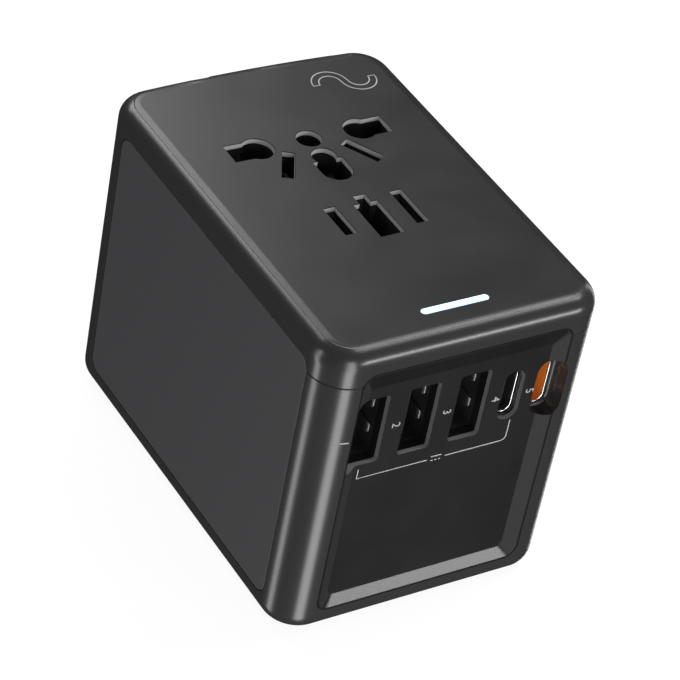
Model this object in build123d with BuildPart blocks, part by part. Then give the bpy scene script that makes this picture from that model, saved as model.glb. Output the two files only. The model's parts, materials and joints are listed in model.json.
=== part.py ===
from build123d import *
import math
import os

# Universal travel adapter. Millimetres. +Z is up with the universal outlet on top, the USB side faces -Y,
# the plain side faces -X and the slider side faces +X. The folded plugs come out of the base, towards -Z.

# ---- driving dimensions of the body
WIDTH = 50.6
DEPTH = 74.4  # over the bowed back
BACK_BOW = 1.05  # how far the back's middle stands out
HEIGHT = 56.7
CORNER_R = 6.2
EDGE_R = 3.2
SEAM_Z = HEIGHT - 6.2  # split between the top frame and the main housing
SEAM_CHAMFER = 0.15

FRONT_Y = -DEPTH / 2
BACK_Y = DEPTH / 2 - BACK_BOW  # the back at its corners
PLAN_Y = -BACK_BOW / 2  # middle of the plan without the bow

# ---- walls and recesses
PANEL_T = 1.4  # side and back panels, flush in their recesses
FRONT_PANEL_T = 3.4
DISH = 1.2  # depth of the front panel's dish
GAP = 0.12  # hairline round every panel
SOFT_EDGE = 0.12  # rounding of a moulded panel's outer edges
RIM = 0.4  # flat rim of the front panel round its dish
DISH_SLOPE_LOW, DISH_SLOPE_HIGH, DISH_SLOPE_SIDE = 2.2, 3.9, 2.5  # from the panel's edge to the dish floor
DISH_R = 1.2
DISH_FILLET = 0.7  # where the dish's slopes meet its floor
SIDE_WALL = 2.8
FRONT_WALL = 4.4
INNER_X = WIDTH / 2 - SIDE_WALL
INNER_FRONT = FRONT_Y + FRONT_WALL
INNER_BACK = BACK_Y - SIDE_WALL
INNER_R = 3.4

PANEL_Z0 = 4.2
PANEL_Z1 = HEIGHT - 4.2
SIDE_PANEL_HALF = 30.45
END_PANEL_HALF = 19.15
PANEL_R = 2.4

# ---- top
PLATE_T = 0.9
PLATE_INSET = 2.0
PLATE_R = 4.8
PLATE_Z = HEIGHT - PLATE_T
SLOT_BREAK = 0.12  # edge break of the outlet plate's openings
DECK_Z = 52.4  # underside of the top frame's deck
LIP_DROP = 1.6  # spigot of the top frame inside the housing
LIP_T = 0.8
LIP_FIT = 0.05
LAMP_Y = PLAN_Y - 30.1
LAMP_L = 12.2
LAMP_W = 1.25

# ---- outlet: pin positions of the plugs it takes, from the middle of the plan
UK_X = 11.11
UK_Y = 15.0
EURO_X = 9.55
AU_X = 6.9
AU_Y = 9.53
AU_TILT = 30
US_X = 6.35
US_Y = -6.05
EARTH_Y = -7.39
US_EARTH_Y = 6.07

# ---- base
BASE_T = 2.4
BASE_INSET = 4.5
BASE_R = 3.4
BASE_SINK = 1.2  # depth of the recesses for the screw heads and the fuse drawer's face

# ---- folding plugs
TRAVEL = 23.5
CARRIAGE_T = 6.0
CARRIAGE_Z = BASE_T + 0.3 + TRAVEL
CARRIAGE_TOP = CARRIAGE_Z + CARRIAGE_T
THROUGH_CARRIAGE = (CARRIAGE_Z - 1, CARRIAGE_TOP + 1)
UK_PLUG_Y = 22.0
UK_EARTH_Y = UK_PLUG_Y - 22.23
EU_PLUG_Y = 10.0
EU_PIN_X = 9.5
EU_PIN_R = 2.4
US_PLUG_Y = -13.0
UK_PIN_L, UK_PIN_W = 6.35, 4.0
UK_EARTH_W, UK_EARTH_L = 4.0, 8.0
BLADE_T, BLADE_L = 1.5, 6.35
UK_REACH, UK_EARTH_REACH, EU_REACH, US_REACH = 17.7, 22.7, 19.2, 16.7
ROTOR_R = 4.0
COLLAR_R, COLLAR_T = 4.35, 1.0  # brass collar on top of each flat blade
SLEEVE_FROM = 8.5  # bare brass below each pin's sleeve
SLEEVE_T = 0.4
PIN_GAP = 0.2
ROD_R = 1.0
ROD_FIT = 0.08
ROD_FOOT, ROD_TOP = 1.2, 33.9
RODS = ((17.8, 22.4), (-18.6, 6.5), (17.2, 12.0), (-3.0, 10.0), (17.2, -17.4), (-17.2, -17.4))

# ---- sliders on the +X side
KNOB_Z = 40.1
KNOB_L, KNOB_W = 8.0, 7.4
KNOB_PROUD = 0.9
STEM_L, STEM_W = 4.4, 4.2
SLOT_W = 4.8
SLOT_END = 0.4
TRACK_R = 0.6
TRACK_Z = (KNOB_Z - TRAVEL - STEM_L / 2 - SLOT_END, KNOB_Z + STEM_L / 2 + SLOT_END)
ARM_X0, ARM_X1 = 19.6, 21.9
ARM_W = 6.0
ARM_ROOT_X = 15.0  # the arm's foot reaches in to here
RIB_PITCH, RIB_GROOVE, RIB_DEPTH = 1.25, 0.5, 0.4
SLIDER_Y = {"uk": 20.0, "eu": 4.0, "us": -12.0}

# ---- ports
PORT_Z = HEIGHT - 16.83
USB_A_X = (-15.45, -6.2, 3.05)
USB_A_W, USB_A_H, USB_A_R = 5.12, 12.5, 0.35
USB_C_X = (10.73, 17.1)
USB_C_W, USB_C_H = 3.16, 8.94
SHELL_T = 0.3
BEVEL_W, BEVEL_D = 0.3, 0.55  # steep lead-in round each port opening
USB_C_SINK = (1.4, 1.72)  # how far the USB-C shells stand behind the dish floor
PD_POCKET_X = 17.45  # the fast port's pocket runs on past its shell into the pillar
PD_POCKET_W, PD_POCKET_H, PD_POCKET_D = 4.4, 10.4, 3.0  # at the pocket's floor
PD_TAPER = 8
PD_FILLET = 0.45
BOARD_T = 1.6
USB_BOARD_Y = -21.4  # front face of the USB board
POWER_BOARD_Y = 32.4  # back face of the power board
BOARD_POST_X, BOARD_POST_Z, BOARD_POST_R = 18.8, 30.5, 1.9

# ---- inside
CARRIER_Z0, CARRIER_Z1 = 33.0, 50.4
CARRIER_X = 16.5
CARRIER_Y0, CARRIER_Y1 = PLAN_Y - 13.5, PLAN_Y + 19.0
CARRIER_FLOOR = 1.4
TAB_T = 1.6  # the carrier's screw tabs
FLANGE_X0, FLANGE_X1, FLANGE_Y0, FLANGE_Y1 = -20.8, 19.2, -19.4, 26.0
RAIL_T = 0.5  # sheet of the bus bars
LEG_Z = 4.0
LEG_W = 2.4
LEG_GAP = 0.1
WELL_WALL = 0.8
EARTH_WELL = 3.2
LEAF_T = 0.5
LEAF_Z = CARRIER_Z0 + CARRIER_FLOOR
LEAF_TOP = 46.5
STRIP_T = 0.6
SHUTTER_Z0, SHUTTER_T, SHUTTER_RAMP = 50.6, 1.5, 0.6
SPRING_PITCH, SPRING_L, SPRING_R, SPRING_WIRE = 1.5, 9.6, 1.15, 0.38
SPRING_SEAT_Y = 29.95  # from the middle of the plan
FUSE_Y = -26.6
FUSE_R, FUSE_L = 2.5, 20.0
FUSE_CAP_R, FUSE_CAP_L = 2.6, 5.0
FUSE_Z, SPARE_Z = 11.0, 4.9
DRAWER_HALF_L, DRAWER_HALF_W = 12.4, 3.3
DRAWER_FLANGE_L, DRAWER_FLANGE_W = 13.5, 4.2
SCREW_R, SCREW_HEAD_R, PILOT_R, SCREW_HOLE_R = 0.88, 1.6, 0.9, 1.1  # small self-tapping screws
FLAT_HEAD_T = 0.3  # heads behind the USB board, clear of the carriage
BOSS_X, BOSS_FRONT, BOSS_BACK = 18.0, -29.6, 28.2
DECK_SCREW_X = 19.0
DECK_SCREW_Y = (PLAN_Y - 9.5, PLAN_Y + 14.5)

os.makedirs("parts", exist_ok=True)


def save(part, name):
    """Label a finished piece and write its STEP file."""
    part.label = name
    export_step(part, f"parts/{name}.step")


def outline(inset=0.0, radius=CORNER_R):
    """Plan of the body: three straight sides and a bowed back, with round corners."""
    half = WIDTH / 2 - inset
    front = FRONT_Y + inset
    back = BACK_Y - inset
    with BuildSketch() as plan:
        with BuildLine():
            Polyline((-half, back), (-half, front), (half, front), (half, back))
            ThreePointArc((half, back), (0, back + BACK_BOW), (-half, back))
        make_face()
        fillet(plan.vertices(), radius)
    return plan.sketch


def envelope():
    """The whole outer shape as one solid."""
    with BuildPart() as whole:
        with BuildSketch():
            add(outline())
        extrude(amount=HEIGHT)
        ends = whole.faces().filter_by(Axis.Z)
        fillet(ends.edges(), EDGE_R)
    return whole.part


def slab(x0, x1, y0, y1, z0, z1):
    """A plain block between two corners."""
    with BuildPart() as block:
        with Locations(((x0 + x1) / 2, (y0 + y1) / 2, (z0 + z1) / 2)):
            Box(abs(x1 - x0), abs(y1 - y0), abs(z1 - z0))
    return block.part


def rod(x, y, z0, z1, radius):
    """A plain upright cylinder."""
    with BuildPart() as bar:
        with Locations((x, y, z0)):
            Cylinder(radius, z1 - z0, align=(Align.CENTER, Align.CENTER, Align.MIN))
    return bar.part


def post(x, z, y0, y1, radius):
    """A plain cylinder along Y."""
    with BuildPart() as bar:
        with BuildSketch(Plane.XZ.offset(-y0)):
            with Locations((x, z)):
                Circle(radius)
        extrude(amount=y0 - y1)
    return bar.part


def side_prism(x0, x1, half, z0, z1, radius, centre_y=PLAN_Y):
    """A block with rounded corners in the side view, between two x planes."""
    with BuildPart() as block:
        with BuildSketch(Plane.YZ.offset(x0)):
            with Locations((centre_y, (z0 + z1) / 2)):
                RectangleRounded(2 * half, z1 - z0, radius)
        extrude(amount=x1 - x0)
    return block.part


def end_prism(y0, y1, half, z0, z1, radius, centre_x=0.0):
    """A block with rounded corners in the front view, between two y planes."""
    with BuildPart() as block:
        with BuildSketch(Plane.XZ.offset(-y0)):
            with Locations((centre_x, (z0 + z1) / 2)):
                RectangleRounded(2 * half, z1 - z0, radius)
        extrude(amount=y0 - y1)
    return block.part


def cavity(z0, z1):
    """The inside of the housing between two heights."""
    with BuildPart() as room:
        with BuildSketch(Plane.XY.offset(z0)):
            with Locations((0, (INNER_FRONT + INNER_BACK) / 2)):
                RectangleRounded(2 * INNER_X, INNER_BACK - INNER_FRONT, INNER_R)
        extrude(amount=z1 - z0)
    return room.part


def plate_prism(inset, radius, z0, z1):
    """A block that follows the body's plan, inset, between two heights."""
    with BuildPart() as block:
        with BuildSketch(Plane.XY.offset(z0)):
            add(outline(inset, radius))
        extrude(amount=z1 - z0)
    return block.part


def outlet_openings(margin=0.0):
    """The outlet's openings, grown by a margin, as one sketch on the XY plane."""
    grow = 2 * margin
    with BuildSketch() as holes:
        for side in (-1, 1):
            with Locations((side * EURO_X, PLAN_Y + UK_Y)):
                Circle(2.75 + margin)
            with Locations((side * 12.2, PLAN_Y + UK_Y)):
                Rectangle(4.9 + grow, 4.4 + grow)
            with Locations((side * AU_X, PLAN_Y + AU_Y)):
                Rectangle(2.1 + grow, 7.0 + grow, rotation=side * AU_TILT)
        with Locations((0, PLAN_Y + UK_Y)):
            Circle(2.15 + margin)
        with Locations((0, PLAN_Y + 10.0)):
            Circle(2.1 + margin)
        with Locations((0, PLAN_Y + US_EARTH_Y)):
            Circle(2.68 + margin)
        with Locations((0, PLAN_Y + 7.5)):
            Rectangle(5.36 + grow, 2.86 + grow)
        with Locations((-US_X, PLAN_Y + US_Y)):
            Rectangle(2.1 + grow, 7.0 + grow)
        with Locations((US_X, PLAN_Y + US_Y)):
            Rectangle(2.1 + grow, 8.6 + grow)
        with Locations((0, PLAN_Y + EARTH_Y)):
            Rectangle(4.34 + grow, 8.5 + grow)
        with Locations((0, PLAN_Y - 2.2)):
            Rectangle(2.16 + grow, 2.3 + grow)
    return holes.sketch


def stadium(y0, y1, centre_x, width, height, centre_z=PORT_Z):
    """An upright slot shape with round ends, between two y planes."""
    z0 = centre_z - height / 2
    z1 = centre_z + height / 2
    return end_prism(y0, y1, width / 2, z0, z1, width / 2 - 0.01, centre_x)


BODY = envelope()
def port_opening(port_x, width, height, radius):
    """A port's opening through the front panel, with its steep lead-in from the dish floor."""
    bevel_y = FRONT_Y + DISH + BEVEL_D
    half_z = height / 2
    with BuildPart() as opening:
        back = FRONT_Y + FRONT_PANEL_T + 1
        add(end_prism(FRONT_Y - 1, back, width / 2, PORT_Z - half_z, PORT_Z + half_z, radius, port_x))
        with BuildSketch(Plane.XZ.offset(-bevel_y)):
            with Locations((port_x, PORT_Z)):
                RectangleRounded(width, height, radius)
        extrude(amount=DISH + BEVEL_D + 1, taper=-math.degrees(math.atan(BEVEL_W / BEVEL_D)))
    return opening.part


with BuildPart() as pd_pocket:
    with BuildSketch(Plane.XZ.offset(-FRONT_Y - PD_POCKET_D)):
        with Locations((PD_POCKET_X, PORT_Z)):
            SlotOverall(PD_POCKET_H, PD_POCKET_W, rotation=90)
    extrude(amount=PD_POCKET_D + 1, taper=-PD_TAPER)
    fillet(pd_pocket.faces().sort_by(Axis.Y)[-1].edges(), PD_FILLET)
PD_POCKET = pd_pocket.part
PANEL_CUTS = [
    side_prism(-WIDTH / 2 - 1, -WIDTH / 2 + PANEL_T, SIDE_PANEL_HALF, PANEL_Z0, PANEL_Z1, PANEL_R),
    side_prism(WIDTH / 2 - PANEL_T, WIDTH / 2 + 1, SIDE_PANEL_HALF, PANEL_Z0, PANEL_Z1, PANEL_R),
    end_prism(FRONT_Y - 1, FRONT_Y + FRONT_PANEL_T, END_PANEL_HALF, PANEL_Z0, PANEL_Z1, PANEL_R),
    end_prism(BACK_Y - PANEL_T, BACK_Y + BACK_BOW + 1, END_PANEL_HALF, PANEL_Z0, PANEL_Z1, PANEL_R),
]

# ---- top frame: glossy ring, deck under the outlet plate and a spigot into the housing
with BuildPart() as top_frame:
    add(BODY)
    split(bisect_by=Plane.XY.offset(SEAM_Z), keep=Keep.TOP)
    chamfer(top_frame.faces().sort_by(Axis.Z)[0].outer_wire().edges(), SEAM_CHAMFER)
    add(cavity(SEAM_Z - 1, DECK_Z), mode=Mode.SUBTRACT)
    add(plate_prism(PLATE_INSET - 0.05, PLATE_R, PLATE_Z, HEIGHT + 1), mode=Mode.SUBTRACT)
    for cut in PANEL_CUTS:
        add(cut, mode=Mode.SUBTRACT)
    with BuildSketch(Plane.XY.offset(SEAM_Z - LIP_DROP)):
        with Locations((0, (INNER_FRONT + INNER_BACK) / 2)):
            inner_l = INNER_BACK - INNER_FRONT
            RectangleRounded(2 * (INNER_X - LIP_FIT), inner_l - 2 * LIP_FIT, INNER_R - LIP_FIT)
            bore = (2 * (INNER_X - LIP_T), inner_l - 2 * LIP_T, INNER_R - LIP_T)
            RectangleRounded(*bore, mode=Mode.SUBTRACT)
    extrude(amount=DECK_Z - SEAM_Z + LIP_DROP + 0.2)
    for screw_y in DECK_SCREW_Y:
        for side in (-1, 1):
            add(rod(side * DECK_SCREW_X, screw_y, CARRIER_Z1, DECK_Z + 0.2, 1.7))
            add(rod(side * DECK_SCREW_X, screw_y, CARRIER_Z1 - 1, DECK_Z + 1.6, PILOT_R), mode=Mode.SUBTRACT)
    for side in (-1, 1):
        add(slab(side * 6.2, side * 7.4, LAMP_Y - 1, LAMP_Y + 1, 50.2, DECK_Z + 0.2))
    add(slab(-2.4, 2.4, PLAN_Y + SPRING_SEAT_Y, PLAN_Y + SPRING_SEAT_Y + 1.2, 49.0, DECK_Z + 0.2))
    with BuildSketch(Plane.XY.offset(DECK_Z - 1)):
        add(outlet_openings(0.3))
    extrude(amount=PLATE_Z - DECK_Z + 2, mode=Mode.SUBTRACT)
    with BuildSketch(Plane.XY.offset(DECK_Z - 1)):
        with Locations((0, LAMP_Y)):
            SlotOverall(LAMP_L, LAMP_W)
    extrude(amount=PLATE_Z - DECK_Z + 2, mode=Mode.SUBTRACT)
save(top_frame.part, "top_frame")

# ---- outlet plate: matte cover that follows the ring's rounded edge
with BuildPart() as socket_plate:
    add(plate_prism(PLATE_INSET + 0.05, PLATE_R, PLATE_Z, HEIGHT + 1))
    add(BODY, mode=Mode.INTERSECT)
    with BuildSketch(Plane.XY.offset(PLATE_Z - 1)):
        add(outlet_openings())
    extrude(amount=PLATE_T + 3, mode=Mode.SUBTRACT)
    with BuildSketch(Plane.XY.offset(PLATE_Z - 1)):
        with Locations((0, LAMP_Y)):
            SlotOverall(LAMP_L, LAMP_W)
    extrude(amount=PLATE_T + 3, mode=Mode.SUBTRACT)
    plate_top = socket_plate.faces().filter_by(Axis.Z).sort_by(Axis.Z)[-1]
    chamfer([edge for opening in plate_top.inner_wires() for edge in opening.edges()], SLOT_BREAK)
save(socket_plate.part, "socket_plate")

# ---- light pipe of the power lamp, flanged under the deck
with BuildPart() as light_pipe:
    with BuildSketch(Plane.XY.offset(DECK_Z)):
        with Locations((0, LAMP_Y)):
            SlotOverall(LAMP_L - 0.1, LAMP_W - 0.1)
    extrude(amount=HEIGHT - DECK_Z)
    with BuildSketch(Plane.XY.offset(DECK_Z - 1.2)):
        with Locations((0, LAMP_Y)):
            Rectangle(11.6, 2.6)
    extrude(amount=1.2)
save(light_pipe.part, "light_pipe")

# ---- lamp board with its two light-emitting diodes
with BuildPart() as lamp_board:
    add(slab(-8, 8, LAMP_Y - 1.2, LAMP_Y + 2.6, 49.2, 50.2))
    for led_x in (-3, 3):
        add(slab(led_x - 1, led_x + 1, LAMP_Y - 0.6, LAMP_Y + 0.6, 50.2, 50.9))
save(lamp_board.part, "lamp_board")

# ---- main housing: tube with a rounded lower rim, open at both ends, with screw bosses
with BuildPart() as main_housing:
    add(BODY)
    split(bisect_by=Plane.XY.offset(SEAM_Z), keep=Keep.BOTTOM)
    chamfer(main_housing.faces().sort_by(Axis.Z)[-1].outer_wire().edges(), SEAM_CHAMFER)
    add(cavity(BASE_T, SEAM_Z + 1), mode=Mode.SUBTRACT)
    add(plate_prism(BASE_INSET, BASE_R, -1, BASE_T + 1), mode=Mode.SUBTRACT)
    for cut in PANEL_CUTS:
        add(cut, mode=Mode.SUBTRACT)
    add(PD_POCKET, mode=Mode.SUBTRACT)
    add(slab(-18.6, 19.0, FRONT_Y, INNER_FRONT + 1, PORT_Z - 7.2, PORT_Z + 7.2), mode=Mode.SUBTRACT)
    for slider_y in SLIDER_Y.values():
        track_y = (slider_y - SLOT_W / 2, slider_y + SLOT_W / 2)
        add(slab(INNER_X - 1, WIDTH / 2, *track_y, *TRACK_Z), mode=Mode.SUBTRACT)
    for side in (-1, 1):
        for boss_y, wall_y in ((BOSS_FRONT, INNER_FRONT), (BOSS_BACK, INNER_BACK)):
            add(rod(side * BOSS_X, boss_y, BASE_T, 20, 2.2))
            add(slab(side * BOSS_X - 0.6, side * BOSS_X + 0.6, boss_y, wall_y, BASE_T, 20))
            add(rod(side * BOSS_X, boss_y, BASE_T - 1, 17, 1.05), mode=Mode.SUBTRACT)
        place = (side * BOARD_POST_X, BOARD_POST_Z)
        add(post(*place, INNER_FRONT, USB_BOARD_Y, BOARD_POST_R))
        add(post(*place, USB_BOARD_Y - 6, USB_BOARD_Y, PILOT_R), mode=Mode.SUBTRACT)
        add(post(*place, POWER_BOARD_Y, INNER_BACK, BOARD_POST_R))
        add(post(*place, POWER_BOARD_Y, INNER_BACK + 1, PILOT_R), mode=Mode.SUBTRACT)
save(main_housing.part, "main_housing")

# ---- side and back panels
panel_z = (PANEL_Z0 + GAP, PANEL_Z1 - GAP)
with BuildPart() as left_panel:
    add(side_prism(-WIDTH / 2, -WIDTH / 2 + PANEL_T, SIDE_PANEL_HALF - GAP, *panel_z, PANEL_R - GAP))
    fillet(left_panel.faces().sort_by(Axis.X)[0].edges(), SOFT_EDGE)
save(left_panel.part, "left_panel")

with BuildPart() as right_panel:
    add(side_prism(WIDTH / 2 - PANEL_T, WIDTH / 2, SIDE_PANEL_HALF - GAP, *panel_z, PANEL_R - GAP))
    for slider_y in SLIDER_Y.values():
        track = side_prism(WIDTH / 2 - 3, WIDTH / 2 + 1, SLOT_W / 2, *TRACK_Z, TRACK_R, slider_y)
        add(track, mode=Mode.SUBTRACT)
    fillet(right_panel.faces().sort_by(Axis.X)[-1].edges(), SOFT_EDGE)
save(right_panel.part, "right_panel")

with BuildPart() as back_panel:
    add(end_prism(BACK_Y - PANEL_T, BACK_Y + BACK_BOW + 1, END_PANEL_HALF - GAP, *panel_z, PANEL_R - GAP))
    add(BODY, mode=Mode.INTERSECT)
    fillet(back_panel.faces().sort_by(Axis.Y)[-1].edges(), SOFT_EDGE)
save(back_panel.part, "back_panel")

# ---- front panel: dished, with the port openings
dish_z = (PANEL_Z0 + DISH_SLOPE_LOW, PANEL_Z1 - DISH_SLOPE_HIGH)
with BuildPart() as front_panel:
    add(end_prism(FRONT_Y, FRONT_Y + FRONT_PANEL_T, END_PANEL_HALF - GAP, *panel_z, PANEL_R - GAP))
    with BuildSketch(Plane.XZ.offset(-FRONT_Y)):
        with Locations((0, (PANEL_Z0 + PANEL_Z1) / 2)):
            RectangleRounded(2 * (END_PANEL_HALF - RIM), PANEL_Z1 - PANEL_Z0 - 2 * RIM, PANEL_R - RIM)
    with BuildSketch(Plane.XZ.offset(-FRONT_Y - DISH)):
        with Locations((0, sum(dish_z) / 2)):
            RectangleRounded(2 * (END_PANEL_HALF - DISH_SLOPE_SIDE), dish_z[1] - dish_z[0], DISH_R)
    loft(mode=Mode.SUBTRACT)
    dish_floor = front_panel.faces().filter_by(Axis.Y).group_by(Axis.Y)[1][0]
    fillet(dish_floor.edges(), DISH_FILLET)
    add(PD_POCKET, mode=Mode.SUBTRACT)
    for port_x in USB_A_X:
        add(port_opening(port_x, USB_A_W, USB_A_H, USB_A_R), mode=Mode.SUBTRACT)
    usb_c_hole = (USB_C_W + 0.2, USB_C_H + 0.2)
    add(port_opening(USB_C_X[0], *usb_c_hole, usb_c_hole[0] / 2 - 0.01), mode=Mode.SUBTRACT)
    add(stadium(FRONT_Y - 1, FRONT_Y + FRONT_PANEL_T + 1, USB_C_X[1], *usb_c_hole), mode=Mode.SUBTRACT)
save(front_panel.part, "front_panel")

# ---- USB-A receptacles: folded steel shells with their tongues
shell_front = FRONT_Y + FRONT_PANEL_T
shell_z = (PORT_Z - USB_A_H / 2, PORT_Z + USB_A_H / 2)
for number, port_x in enumerate(USB_A_X, 1):
    with BuildPart() as usb_a_shell:
        outer_z = (shell_z[0] - SHELL_T, shell_z[1] + SHELL_T)
        add(end_prism(shell_front, USB_BOARD_Y, USB_A_W / 2 + SHELL_T, *outer_z, USB_A_R + SHELL_T, port_x))
        bore = end_prism(shell_front - 1, USB_BOARD_Y - SHELL_T, USB_A_W / 2, *shell_z, USB_A_R, port_x)
        add(bore, mode=Mode.SUBTRACT)
    save(usb_a_shell.part, f"usb_a_shell_{number}")
    with BuildPart() as usb_a_tongue:
        block_y = (USB_BOARD_Y - 3.3, USB_BOARD_Y - SHELL_T)
        add(slab(port_x - 2.2, port_x + 2.2, *block_y, shell_z[0] + 0.3, shell_z[1] - 0.3))
        blade_y = (shell_front + 0.9, USB_BOARD_Y - 3)
        add(slab(port_x - 2.0, port_x - 0.2, *blade_y, PORT_Z - 5.4, PORT_Z + 5.4))
    save(usb_a_tongue.part, f"usb_a_tongue_{number}")

# ---- USB-C receptacles
usb_c_fronts = [FRONT_Y + DISH + sink for sink in USB_C_SINK]
for number, (port_x, shell_front) in enumerate(zip(USB_C_X, usb_c_fronts), 1):
    bore = (port_x, USB_C_W - 2 * SHELL_T, USB_C_H - 2 * SHELL_T)
    with BuildPart() as usb_c_shell:
        add(stadium(shell_front, USB_BOARD_Y, port_x, USB_C_W, USB_C_H))
        add(stadium(shell_front - 1, USB_BOARD_Y - SHELL_T, *bore), mode=Mode.SUBTRACT)
    save(usb_c_shell.part, f"usb_c_shell_{number}")
    with BuildPart() as usb_c_tongue:
        add(stadium(USB_BOARD_Y - 3.5, USB_BOARD_Y - SHELL_T, *bore))
        tongue_y = (shell_front + 1.0, USB_BOARD_Y - 3)
        add(slab(port_x - 0.35, port_x + 0.35, *tongue_y, PORT_Z - 3.3, PORT_Z + 3.3))
    save(usb_c_tongue.part, f"usb_c_tongue_{number}")

# ---- USB board, upright behind the ports, with its chips on the front below them
with BuildPart() as usb_board:
    add(slab(-20.9, 20.9, USB_BOARD_Y, USB_BOARD_Y + BOARD_T, 8.0, 48.2))
    for side in (-1, 1):
        add(slab(side * 16.2, side * 21, USB_BOARD_Y - 1, USB_BOARD_Y + 3, 7, 12), mode=Mode.SUBTRACT)
        hole_y = (USB_BOARD_Y - 1, USB_BOARD_Y + BOARD_T + 1)
        add(post(side * BOARD_POST_X, BOARD_POST_Z, *hole_y, SCREW_HOLE_R), mode=Mode.SUBTRACT)
save(usb_board.part, "usb_board")

with BuildPart() as charger_chips:
    for chip_x in (-12.5, 12.5):
        add(slab(chip_x - 3, chip_x + 3, USB_BOARD_Y - 1.2, USB_BOARD_Y, 20, 26))
save(charger_chips.part, "charger_chips")

with BuildPart() as choke_coil:
    add(slab(-4, 4, USB_BOARD_Y - 5, USB_BOARD_Y, 19, 27))
    fillet(choke_coil.edges().filter_by(Axis.Y), 1.2)
save(choke_coil.part, "choke_coil")

# ---- power board at the back with its transformer and capacitors
with BuildPart() as power_board:
    add(slab(-20.9, 20.9, POWER_BOARD_Y - BOARD_T, POWER_BOARD_Y, 22.0, 48.2))
    for side in (-1, 1):
        hole_y = (POWER_BOARD_Y - BOARD_T - 1, POWER_BOARD_Y + 1)
        add(post(side * BOARD_POST_X, BOARD_POST_Z, *hole_y, SCREW_HOLE_R), mode=Mode.SUBTRACT)
save(power_board.part, "power_board")

board_front = POWER_BOARD_Y - BOARD_T
core_x = (-17.0, -4.0)
core_z = (34.5, 46.5)
core_y = (board_front - 10.5, board_front)
CORE_BAR = 2.0
with BuildPart() as transformer_core:
    add(slab(*core_x, *core_y, *core_z))
    window_x = (core_x[0] + CORE_BAR, core_x[1] - CORE_BAR)
    window_z = (core_z[0] + CORE_BAR, core_z[1] - CORE_BAR)
    add(slab(*window_x, core_y[0] - 1, core_y[1] + 1, *window_z), mode=Mode.SUBTRACT)
save(transformer_core.part, "transformer_core")

with BuildPart() as transformer_winding:
    winding_x = (window_x[0] + 0.1, window_x[1] - 0.1)
    winding_z = (window_z[0] + 0.1, window_z[1] - 0.1)
    add(slab(*winding_x, core_y[0] + 0.5, core_y[1] - 0.5, *winding_z))
    fillet(transformer_winding.edges().filter_by(Axis.Y), 1.5)
save(transformer_winding.part, "transformer_winding")

with BuildPart() as capacitors:
    for cap_x in (1.5, 8.8, 16.0):
        add(post(cap_x, 38.6, board_front - 11, board_front, 3.15))
save(capacitors.part, "capacitors")

with BuildPart() as board_screws:
    usb_back = USB_BOARD_Y + BOARD_T
    for side in (-1, 1):
        place = (side * BOARD_POST_X, BOARD_POST_Z)
        add(post(*place, USB_BOARD_Y - 5, usb_back, SCREW_R))
        add(post(*place, usb_back, usb_back + FLAT_HEAD_T, SCREW_HEAD_R))
        add(post(*place, board_front, INNER_BACK + 0.5, SCREW_R))
        add(post(*place, board_front - 1, board_front, SCREW_HEAD_R))
save(board_screws.part, "board_screws")

# ---- base plate with the openings for the plugs and the fuse drawer
with BuildPart() as base_plate:
    add(plate_prism(BASE_INSET + 0.1, BASE_R, 0, BASE_T))
    through = (-1, BASE_T + 1)
    for side in (-1, 1):
        with BuildSketch(Plane.XY.offset(-1)):
            with Locations((side * UK_X, UK_PLUG_Y)):
                Rectangle(UK_PIN_L + 2 * PIN_GAP, UK_PIN_W + 2 * PIN_GAP)
        extrude(amount=BASE_T + 2, mode=Mode.SUBTRACT)
        add(rod(side * EU_PIN_X, EU_PLUG_Y, *through, EU_PIN_R + 0.3), mode=Mode.SUBTRACT)
        with BuildSketch(Plane.XY.offset(-1)):
            for turn in range(0, AU_TILT + 1, 10):
                with Locations((side * US_X, US_PLUG_Y)):
                    Rectangle(BLADE_T + 0.6, BLADE_L + 0.6, rotation=side * turn)
        extrude(amount=BASE_T + 2, mode=Mode.SUBTRACT)
        for boss_y in (BOSS_FRONT, BOSS_BACK):
            add(rod(side * BOSS_X, boss_y, *through, 1.3), mode=Mode.SUBTRACT)
            add(rod(side * BOSS_X, boss_y, -1, BASE_SINK, 2.3), mode=Mode.SUBTRACT)
    with BuildSketch(Plane.XY.offset(-1)):
        with Locations((0, UK_EARTH_Y)):
            Rectangle(UK_EARTH_W + 2 * PIN_GAP, UK_EARTH_L + 2 * PIN_GAP)
    extrude(amount=BASE_T + 2, mode=Mode.SUBTRACT)
    drawer_x = DRAWER_HALF_L + 0.3
    drawer_y = DRAWER_HALF_W + 0.3
    add(slab(-drawer_x, drawer_x, FUSE_Y - drawer_y, FUSE_Y + drawer_y, *through), mode=Mode.SUBTRACT)
    flange_x = DRAWER_FLANGE_L + 0.2
    flange_y = DRAWER_FLANGE_W + 0.2
    add(slab(-flange_x, flange_x, FUSE_Y - flange_y, FUSE_Y + flange_y, -1, BASE_SINK), mode=Mode.SUBTRACT)
    for rod_x, rod_y in RODS:
        add(rod(rod_x, rod_y, ROD_FOOT, BASE_T + 1, ROD_R + 0.02), mode=Mode.SUBTRACT)
    fillet(base_plate.faces().sort_by(Axis.Z)[0].outer_wire().edges(), SOFT_EDGE)
save(base_plate.part, "base_plate")

with BuildPart() as base_screws:
    for side in (-1, 1):
        for boss_y in (BOSS_FRONT, BOSS_BACK):
            add(rod(side * BOSS_X, boss_y, 0.4, BASE_SINK, 2.2))
            add(rod(side * BOSS_X, boss_y, 0.4, 15, 1.0))
            with BuildSketch(Plane.XY.offset(0.3)):
                with Locations((side * BOSS_X, boss_y)):
                    RegularPolygon(1.0, 3)
            extrude(amount=0.6, mode=Mode.SUBTRACT)
save(base_screws.part, "base_screws")

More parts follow.
